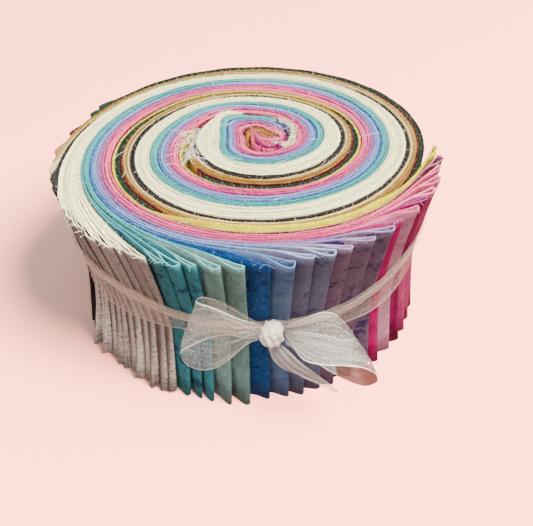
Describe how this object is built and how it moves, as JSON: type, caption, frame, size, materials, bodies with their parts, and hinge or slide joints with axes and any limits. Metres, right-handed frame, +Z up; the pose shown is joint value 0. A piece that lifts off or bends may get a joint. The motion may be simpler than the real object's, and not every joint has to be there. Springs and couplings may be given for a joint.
{
  "type": "fabric strip roll",
  "caption": "Low drum of cotton strips folded in half and wound in a spiral, their folded ends fanned round the side, tied round the waist with a sheer ribbon and a small bow.",
  "frame": {"origin": "centre of the round foot, at the surface it stands on", "axes": "+Z up along the axis of the roll, -Y towards the bow, +X to the right seen from the bow"},
  "size_m": [0.1298, 0.147, 0.0642],
  "materials": {
    "roll": "edges of printed quilting cotton, wound, seen end on",
    "white": "white printed quilting cotton",
    "teal": "teal printed quilting cotton",
    "mint": "mint printed quilting cotton",
    "blue": "blue printed quilting cotton",
    "slate": "slate printed quilting cotton",
    "periwinkle": "periwinkle printed quilting cotton",
    "purple": "purple printed quilting cotton",
    "hot_pink": "hot pink printed quilting cotton",
    "rose": "rose printed quilting cotton",
    "magenta": "magenta printed quilting cotton",
    "blush": "blush printed quilting cotton",
    "wine": "wine printed quilting cotton",
    "yellow": "yellow printed quilting cotton",
    "green": "green printed quilting cotton",
    "red": "red printed quilting cotton",
    "gold": "gold printed quilting cotton",
    "tan": "tan printed quilting cotton",
    "cream": "cream printed quilting cotton",
    "black": "black printed quilting cotton",
    "ribbon": "sheer white organza with woven edges"
  },
  "bodies": {
    "root": {"wound_roll": "roll", "white_end_1": "white", "white_end_2": "white", "white_end_3": "white", "white_end_4": "white", "white_end_5": "white", "white_end_6": "white", "white_end_7": "white", "white_end_8": "white", "white_end_9": "white", "white_end_10": "white", "white_end_11": "white", "white_end_12": "white", "teal_end_1": "teal", "teal_end_2": "teal", "teal_end_3": "teal", "mint_end_1": "mint", "mint_end_2": "mint", "blue_end_1": "blue", "slate_end_1": "slate", "periwinkle_end_1": "periwinkle", "periwinkle_end_2": "periwinkle", "purple_end_1": "purple", "purple_end_2": "purple", "purple_end_3": "purple", "hot_pink_end_1": "hot_pink", "rose_end_1": "rose", "magenta_end_1": "magenta", "blush_end_1": "blush", "blush_end_2": "blush", "blush_end_3": "blush", "wine_end_1": "wine", "yellow_end_1": "yellow", "green_end_1": "green", "green_end_2": "green", "red_end_1": "red", "gold_end_1": "gold", "tan_end_1": "tan", "cream_end_1": "cream", "black_end_1": "black", "black_end_2": "black", "ribbon_band": "ribbon", "ribbon_knot": "ribbon", "bow_loop_left": "ribbon", "bow_loop_right": "ribbon", "bow_tail": "ribbon"}
  },
  "joints": []
}
